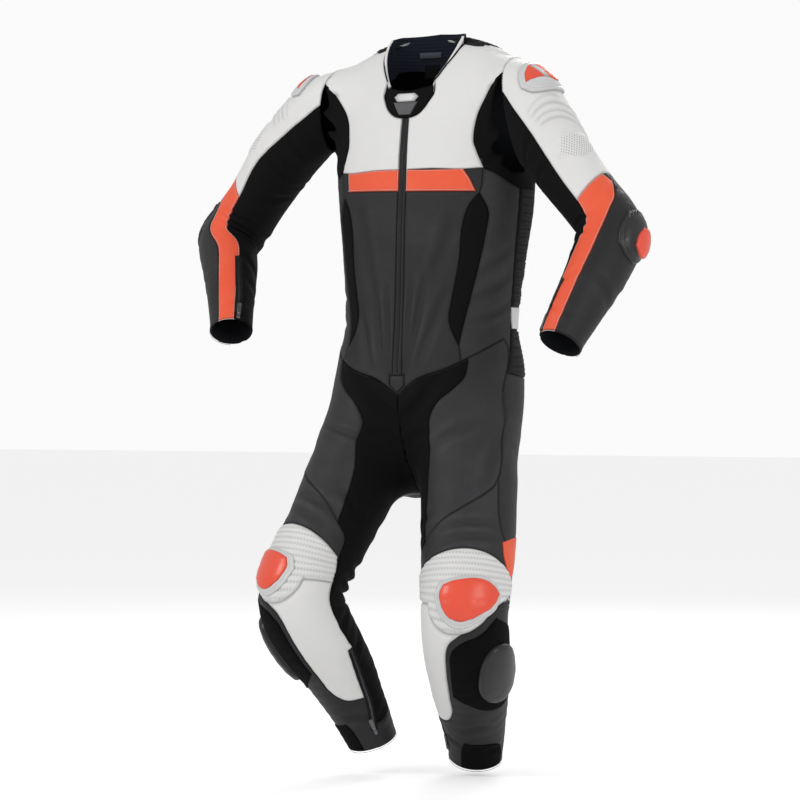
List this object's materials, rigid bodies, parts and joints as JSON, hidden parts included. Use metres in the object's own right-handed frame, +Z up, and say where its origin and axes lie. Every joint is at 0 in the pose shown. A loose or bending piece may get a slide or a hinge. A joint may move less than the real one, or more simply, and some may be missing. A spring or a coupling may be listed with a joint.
{
  "type": "motorcycle race suit",
  "caption": "One-piece leather motorcycle race suit in worn form, with bent elbows and knees, hollow inside, with knee, elbow and shoulder guards.",
  "frame": {"origin": "on the middle plane at the height of the shoulder line, where the wearer carries the suit", "axes": "+Z up, the front faces -Y, the wearer's left is +X"},
  "size_m": [0.9875, 0.4306, 1.3481],
  "materials": {
    "white_leather": "semi-matt, fine grain",
    "orange_leather": "semi-matt, fine grain",
    "black_leather": "semi-matt, fine grain",
    "grey_leather": "semi-matt, fine grain",
    "stretch_cloth": "matt, fine weave",
    "ribbed_stretch": "matt, ribbed",
    "lining_cloth": "matt, finely quilted",
    "zip_tape": "matt tape with a coil zip",
    "moulded_plastic": "moulded, satin",
    "moulded_knee": "moulded shell, satin",
    "pull_plastic": "moulded",
    "pull_metal": "dark satin metal"
  },
  "bodies": {
    "suit": {"back_panel": "black_leather", "lumbar_ribs": "ribbed_stretch", "side_left": "grey_leather", "gusset_left": "stretch_cloth", "side_ribs_left": "ribbed_stretch", "front_left": "black_leather", "insert_left": "stretch_cloth", "side_right": "grey_leather", "gusset_right": "stretch_cloth", "side_ribs_right": "ribbed_stretch", "front_right": "black_leather", "insert_right": "stretch_cloth", "band_left": "orange_leather", "band_right": "orange_leather", "yoke_left": "white_leather", "yoke_right": "white_leather", "nape_ribs": "ribbed_stretch", "main_zip": "zip_tape", "zip_patch": "black_leather", "collar_back": "stretch_cloth", "collar_front_left": "white_leather", "collar_front_right": "white_leather", "collar_tab": "stretch_cloth", "sleeve_inner_left": "stretch_cloth", "sleeve_elbow_left": "black_leather", "sleeve_outer_left": "white_leather", "sleeve_stripe_left": "orange_leather", "sleeve_inner_right": "stretch_cloth", "sleeve_elbow_right": "black_leather", "sleeve_outer_right": "white_leather", "sleeve_stripe_right": "orange_leather", "seat_left": "black_leather", "inseam_left": "stretch_cloth", "thigh_left": "grey_leather", "over_knee_left": "grey_leather", "calf_left": "black_leather", "shin_left": "white_leather", "knee_left": "white_leather", "seat_right": "black_leather", "inseam_right": "stretch_cloth", "thigh_right": "grey_leather", "over_knee_right": "grey_leather", "calf_right": "black_leather", "shin_right": "white_leather", "knee_right": "white_leather", "collar_lining": "lining_cloth", "hanger_loop": "lining_cloth", "shoulder_plate_left": "moulded_plastic", "elbow_guard_left": "moulded_plastic", "knee_guard_left": "moulded_knee", "knee_slider_left": "moulded_plastic", "shoulder_plate_right": "moulded_plastic", "elbow_guard_right": "moulded_plastic", "knee_guard_right": "moulded_knee", "knee_slider_right": "moulded_plastic"},
    "main_zip_pull_body": {"main_zip_pull": "pull_plastic"},
    "wrist_pull_left_body": {"wrist_pull_left": "pull_metal"},
    "wrist_pull_right_body": {"wrist_pull_right": "pull_metal"},
    "ankle_pull_left_body": {"ankle_pull_left": "pull_metal"},
    "ankle_pull_right_body": {"ankle_pull_right": "pull_metal"}
  },
  "joints": [
    {"name": "main_zip_pull_hinge", "type": "hinge", "parent": "suit", "child": "main_zip_pull_body", "pos_m": [-0.00121, -0.10006, -0.081], "axis": [1, 0, 0], "range_deg": [0, 150]},
    {"name": "wrist_pull_hinge_left", "type": "hinge", "parent": "suit", "child": "wrist_pull_left_body", "pos_m": [0.35373, -0.2082, -0.46923], "axis": [0.701, -0.6258, 0.3421], "range_deg": [0, 150]},
    {"name": "wrist_pull_hinge_right", "type": "hinge", "parent": "suit", "child": "wrist_pull_right_body", "pos_m": [-0.33654, -0.14763, -0.43754], "axis": [0.6079, 0.7531, -0.2516], "range_deg": [0, 150]},
    {"name": "ankle_pull_hinge_left", "type": "hinge", "parent": "suit", "child": "ankle_pull_left_body", "pos_m": [0.05062, -0.03521, -1.22724], "axis": [0.7175, -0.5358, -0.4452], "range_deg": [0, 150]},
    {"name": "ankle_pull_hinge_right", "type": "hinge", "parent": "suit", "child": "ankle_pull_right_body", "pos_m": [-0.0552, -0.1144, -1.19963], "axis": [0.6099, 0.6494, 0.4542], "range_deg": [0, 150]}
  ]
}
